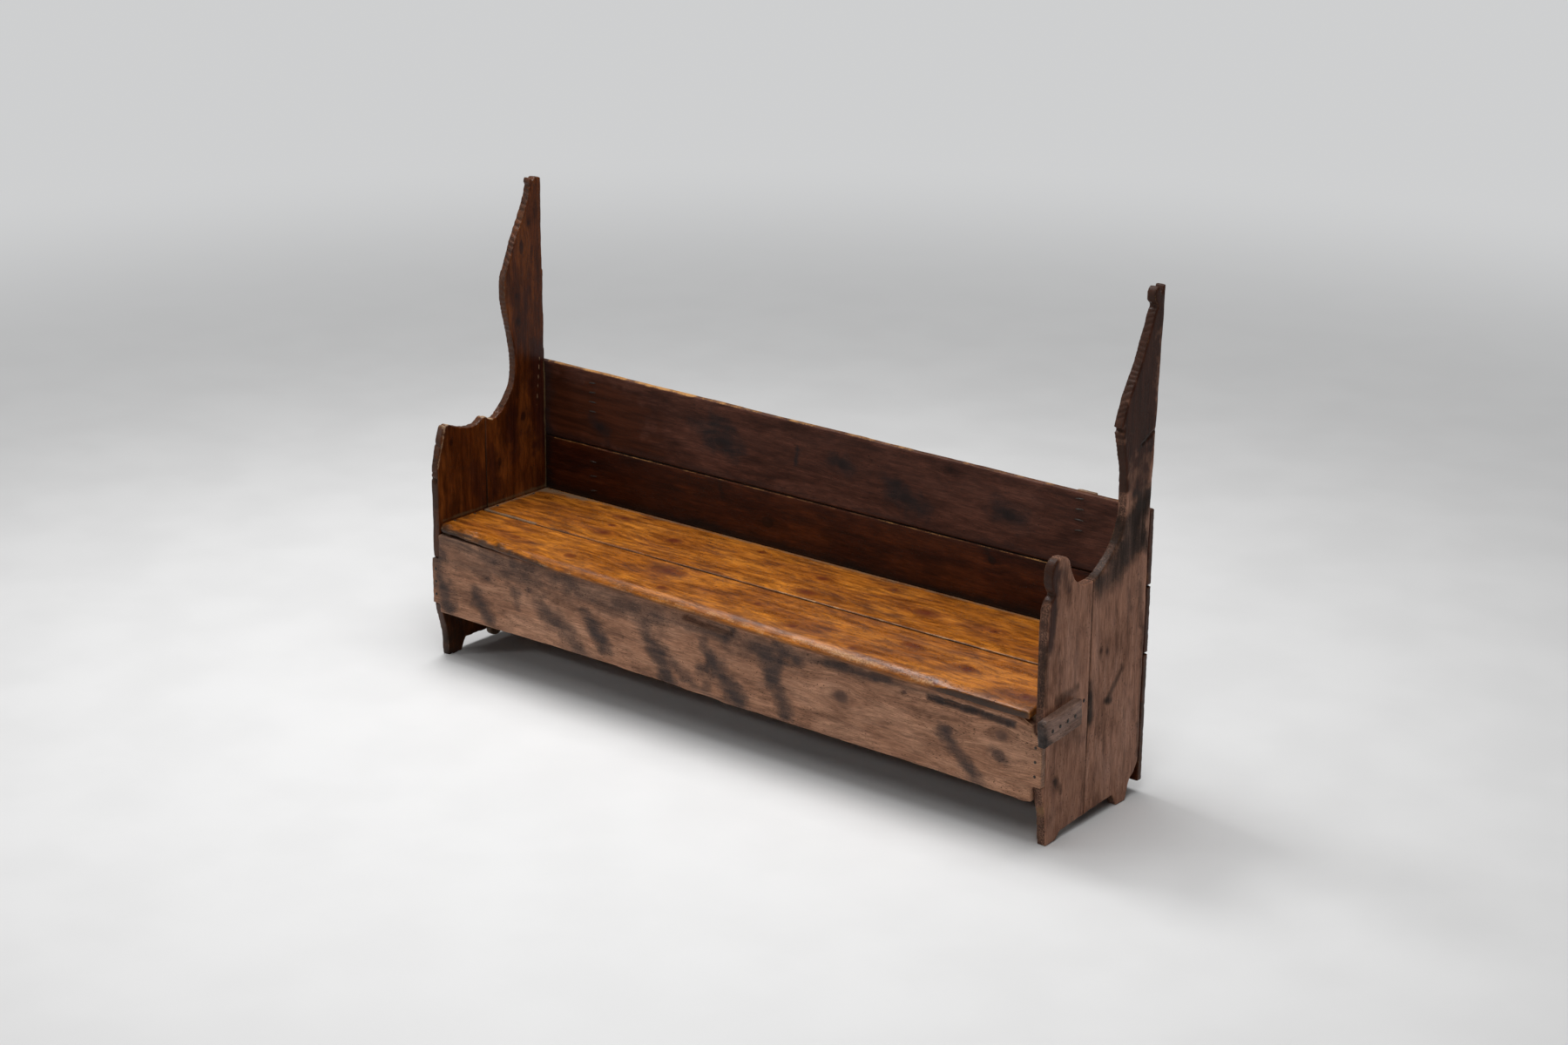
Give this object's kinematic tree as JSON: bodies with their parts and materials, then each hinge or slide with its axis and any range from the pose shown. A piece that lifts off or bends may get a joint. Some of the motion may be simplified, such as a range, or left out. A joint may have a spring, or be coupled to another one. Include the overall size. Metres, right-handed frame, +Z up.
{
  "type": "settle bench",
  "caption": "Old plank settle with horned board ends, a plain board seat over a deep front apron, and a low board back held on battens.",
  "frame": {"origin": "on the floor, under the middle of the whole bench's length and depth", "axes": "+X along the bench towards the end that keeps its round head, +Y towards the back, +Z up"},
  "size_m": [2.255, 0.5554, 1.424],
  "materials": {
    "seat_wood": "worn glossy amber varnish",
    "back_wood": "dark red brown varnish, satin",
    "end_wood": "dark varnish above, worn dusty brown below",
    "apron_wood": "dry dusty pinkish brown, matt",
    "cleat_wood": "greyed, worn matt",
    "inner_wood": "unfinished, dusty",
    "forged_iron": "dark forged iron with rubbed heads"
  },
  "bodies": {
    "root": {"left_front_board": "end_wood", "left_rear_board": "end_wood", "right_front_board": "end_wood", "right_rear_board": "end_wood", "front_apron": "apron_wood", "apron_corner_filler": "apron_wood", "seat_front_board": "seat_wood", "seat_rear_board": "seat_wood", "back_upper_board": "back_wood", "back_middle_board": "back_wood", "back_lower_board": "back_wood", "seat_rear_ledger": "inner_wood", "left_seat_bearer": "inner_wood", "right_seat_bearer": "inner_wood", "left_joint_batten": "inner_wood", "right_joint_batten": "inner_wood", "left_back_batten": "inner_wood", "right_back_batten": "inner_wood", "left_outer_cleat": "cleat_wood", "right_outer_cleat": "cleat_wood", "left_apron_nails": "forged_iron", "right_apron_nails": "forged_iron", "left_back_nails": "forged_iron", "right_back_nails": "forged_iron", "left_back_batten_nails": "forged_iron", "right_back_batten_nails": "forged_iron", "left_bearer_nails": "forged_iron", "right_bearer_nails": "forged_iron", "left_joint_batten_nails": "forged_iron", "right_joint_batten_nails": "forged_iron", "left_seat_nails": "forged_iron", "right_seat_nails": "forged_iron", "ledger_nails": "forged_iron", "left_cleat_nails": "forged_iron", "right_cleat_nails": "forged_iron"}
  },
  "joints": []
}
